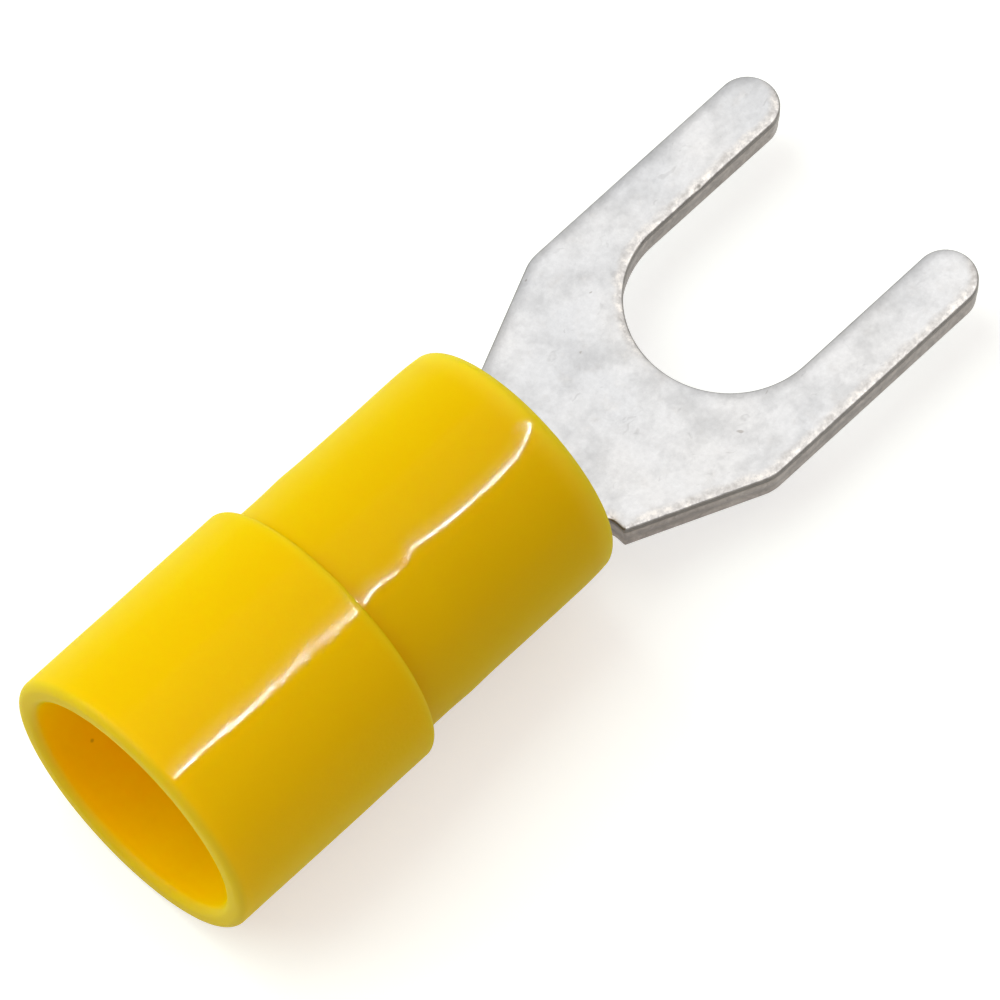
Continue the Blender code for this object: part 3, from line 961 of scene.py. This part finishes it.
def lay_floor(s):
    """Flat square floor at the height that the terminal rests on."""
    mesh = bpy.data.meshes.new("studio_floor")
    reach = FLOOR_REACH
    corners = [(-reach, -reach, 0), (reach, -reach, 0), (reach, reach, 0), (-reach, reach, 0)]
    mesh.from_pydata(corners, [], [(0, 1, 2, 3)])
    floor = bpy.data.objects.new("studio_floor", mesh)
    bpy.context.scene.collection.objects.link(floor)
    mesh.materials.append(floor_material(s))


def set_camera(s):
    """Camera on a line of sight given by two angles and a roll, aimed beside the terminal's middle."""
    level = math.cos(s.elevation)
    back = Vector((-level * math.cos(s.azimuth), -level * math.sin(s.azimuth), math.sin(s.elevation)))
    right = Vector((math.sin(s.azimuth), -math.cos(s.azimuth), 0))
    up = back.cross(right)
    right, up = (
        right * math.cos(s.roll) + up * math.sin(s.roll),
        up * math.cos(s.roll) - right * math.sin(s.roll),
    )
    target = Vector((0, 0, AXIS_Z)) + right * s.side_offset + up * s.rise
    data = bpy.data.cameras.new("photo_camera")
    data.lens = s.focal_length
    data.clip_start, data.clip_end = 0.01, 20.0
    camera = bpy.data.objects.new("photo_camera", data)
    turn = Matrix((right, up, back)).transposed()
    camera.matrix_world = Matrix.Translation(target + back * s.distance) @ turn.to_4x4()
    bpy.context.scene.collection.objects.link(camera)
    bpy.context.scene.camera = camera


def soft_lamp(name, size, strength, tint=(1, 1, 1), direction=(0, 0, 1), turn=0.0):
    """Area lamp that faces the terminal from a direction, with its long side along X before its turn;
    its power is pi times its area times its strength."""
    data = bpy.data.lights.new(name, "AREA")
    data.shape = "RECTANGLE"
    data.size, data.size_y = size
    data.energy = math.pi * size[0] * size[1] * strength
    data.color = tint
    lamp = bpy.data.objects.new(name, data)
    back = Vector(direction).normalized()
    across = (Vector((1, 0, 0)) - back * back.x).normalized()
    axes = Matrix((across, back.cross(across), back)).transposed()
    place = Matrix.Translation(back * LAMP_DISTANCE + Vector((0, 0, AXIS_Z)))
    lamp.matrix_world = place @ axes.to_4x4() @ Matrix.Rotation(turn, 4, "Z")
    lamp.visible_camera = False
    bpy.context.scene.collection.objects.link(lamp)
    return lamp


def aim(lamp, place, target):
    """Moves a lamp to a place and points it at a target."""
    back = (place - target).normalized()
    lamp.matrix_world = Matrix.Translation(place) @ back.to_track_quat("Z", "Y").to_matrix().to_4x4()


def keep_to(lamp, *pieces):
    """Lets a lamp light the named pieces alone."""
    group = bpy.data.collections.new("lit_by_" + lamp.name)
    for piece in pieces:
        group.objects.link(bpy.data.objects[piece])
    lamp.light_linking.receiver_collection = group


def lamp_share(tree, lamp, axis, size):
    """Place on a lamp along one of its own axes, from 0 at one edge to 1 at the other."""
    way = lamp.matrix_world.to_3x3() @ Vector(axis)
    place = tree.nodes.new("ShaderNodeNewGeometry").outputs["Position"]
    start = lamp.matrix_world.translation.dot(way) - size / 2
    walked = calculate(tree, "SUBTRACT", measure(tree, "DOT_PRODUCT", place, way), start)
    return calculate(tree, "DIVIDE", walked, size)


def feather(lamp, stops):
    """Fades a lamp across its width by the stops, which spread out near the end of its length."""
    data = lamp.data
    data.use_nodes = True
    tree = data.node_tree
    share = lamp_share(tree, lamp, (0, 1, 0), data.size_y)
    end = ramp(tree, lamp_share(tree, lamp, (1, 0, 0), data.size), [(0.78, 0.0), (1.0, 1.0)])
    spread = calculate(tree, "ADD", multiply(tree, end, 2.5), 1.0)
    share = calculate(tree, "DIVIDE", share, spread)
    join(tree, ramp(tree, share, stops), tree.nodes["Emission"].inputs["Strength"])


def hang_lamps(s):
    """Large lamps above, two small ones at the wire mouth, and the narrow ones that gloss mirrors."""
    soft_lamp("overhead_lamp", (0.70, 0.66), s.overhead, direction=OVERHEAD_WAY)
    key = soft_lamp("key_lamp", (0.70, 0.70), s.key, (0.86, 1.0, 0.90), KEY_WAY)
    keep_to(key, "vinyl_sleeve", "studio_floor")

    mouth = Vector((MOUTH_X, 0, AXIS_Z))
    side = soft_lamp("mouth_lamp", (18 * MM, 18 * MM), s.mouth_fill)
    aim(side, mouth + Vector(MOUTH_WAY).normalized() * MOUTH_LAMP_DISTANCE, mouth)
    keep_to(side, "vinyl_sleeve")
    bore = soft_lamp("bore_lamp", (2.6 * MM, 2.6 * MM), s.bore_fill)
    aim(bore, mouth + Vector((1.6, -1.6, 0.0)) * MM, mouth + Vector((1.6, 3.0, 0.8)) * MM)
    bore.visible_glossy = False
    keep_to(bore, "vinyl_sleeve")

    strip = soft_lamp("strip_lamp", (0.28, 0.11), s.strip, (0.80, 1.0, 0.85), STRIP_WAY, s.strip_turn)
    strip.visible_diffuse = False
    keep_to(strip, "vinyl_sleeve")
    feather(strip, STRIP_FADE)
    glint = soft_lamp("glint_lamp", (0.28, 0.03), s.glint, direction=STRIP_WAY, turn=s.strip_turn)
    keep_to(glint, "stamped_fork")


def light_sky(s):
    """Even sky: white to the camera, brighter and white as gloss mirrors it, warm as it lights."""
    world = bpy.data.worlds.new("even_sky")
    world.use_nodes = True
    tree = world.node_tree
    background = tree.nodes["Background"]
    light = tree.nodes.new("ShaderNodeLightPath").outputs
    seen = light["Is Camera Ray"]
    mirrored = calculate(tree, "MAXIMUM", light["Is Glossy Ray"], light["Is Transmission Ray"])
    tint = mix(tree, calculate(tree, "MAXIMUM", mirrored, seen), WARM_SKY, 1.0)
    join(tree, tint, background.inputs["Color"])
    level = mix(tree, mirrored, s.sky, s.mirrored_sky)
    join(tree, mix(tree, seen, level, 1.0), background.inputs["Strength"])
    bpy.context.scene.world = world
    bpy.context.scene.view_settings.view_transform = "Standard"


class TERMINAL_OT_sleeve(Operator):
    """Makes the stepped vinyl sleeve as a turned surface"""

    bl_idname = "terminal.sleeve"
    bl_label = "Vinyl Sleeve"

    def execute(self, context):
        s = context.scene.terminal_sleeve
        section, points = sleeve_points(s)
        quads = grid_faces(len(section), TURN_STEPS, closed=True, flip=True)
        shares = {key: np.repeat(values, TURN_STEPS) for key, values in sleeve_shares(section, s).items()}
        sleeve = make_mesh("vinyl_sleeve", points, quads.tolist(), shares, 60)
        sleeve.data.materials.append(vinyl_material(s))
        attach(sleeve, "root")
        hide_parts("insulating_sleeve")
        return {"FINISHED"}


class TERMINAL_OT_fork(Operator):
    """Makes the fork, neck and barrel as one rolled stamping"""

    bl_idname = "terminal.fork"
    bl_label = "Stamped Fork"

    def execute(self, context):
        s = context.scene.terminal_fork
        points, quads, bands = fork_skin(s)
        points, kept, faces = weld(points, quads)
        # The roll share carries the painted highlight on edges that face -Y, and the lip share the painted
        # dark reflection line
        shares = dict(zip(("roll", "lip", "side"), bands[kept].T))
        fork = make_mesh("stamped_fork", points, faces, shares, 50)
        fork.data.materials.append(tin_material(s))
        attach(fork, "root")
        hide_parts("fork_terminal")
        return {"FINISHED"}


class TERMINAL_OT_stage(Operator):
    """Lays the floor and sets up the camera, the lamps and the sky"""

    bl_idname = "terminal.stage"
    bl_label = "Studio Stage"

    def execute(self, context):
        s = context.scene.terminal_stage
        lay_floor(s)
        set_camera(s)
        hang_lamps(s)
        light_sky(s)
        return {"FINISHED"}


class TERMINAL_PT_panel(Panel):
    """Sizes, colours and steps of the terminal"""

    bl_idname = "TERMINAL_PT_panel"
    bl_label = "Fork Terminal"
    bl_space_type = "VIEW_3D"
    bl_region_type = "UI"
    bl_category = "Fork Terminal"

    def draw(self, context):
        groups = (
            ("terminal.sleeve", context.scene.terminal_sleeve),
            ("terminal.fork", context.scene.terminal_fork),
            ("terminal.stage", context.scene.terminal_stage),
        )
        for operator, settings in groups:
            box = self.layout.box()
            for key in settings.__annotations__:
                box.prop(settings, key)
            box.operator(operator)


CLASSES = (
    SleeveSettings,
    ForkSettings,
    StageSettings,
    TERMINAL_OT_sleeve,
    TERMINAL_OT_fork,
    TERMINAL_OT_stage,
    TERMINAL_PT_panel,
)


def register():
    """Registers the classes and gives the scene their settings."""
    for cls in CLASSES:
        bpy.utils.register_class(cls)
    bpy.types.Scene.terminal_sleeve = PointerProperty(type=SleeveSettings)
    bpy.types.Scene.terminal_fork = PointerProperty(type=ForkSettings)
    bpy.types.Scene.terminal_stage = PointerProperty(type=StageSettings)


def unregister():
    """Takes the settings and the classes out again."""
    del bpy.types.Scene.terminal_stage
    del bpy.types.Scene.terminal_fork
    del bpy.types.Scene.terminal_sleeve
    for cls in reversed(CLASSES):
        bpy.utils.unregister_class(cls)


def main():
    register()
    bpy.ops.terminal.sleeve()
    bpy.ops.terminal.fork()
    bpy.ops.terminal.stage()
    bpy.context.view_layer.update()


if __name__ == "__main__":
    main()
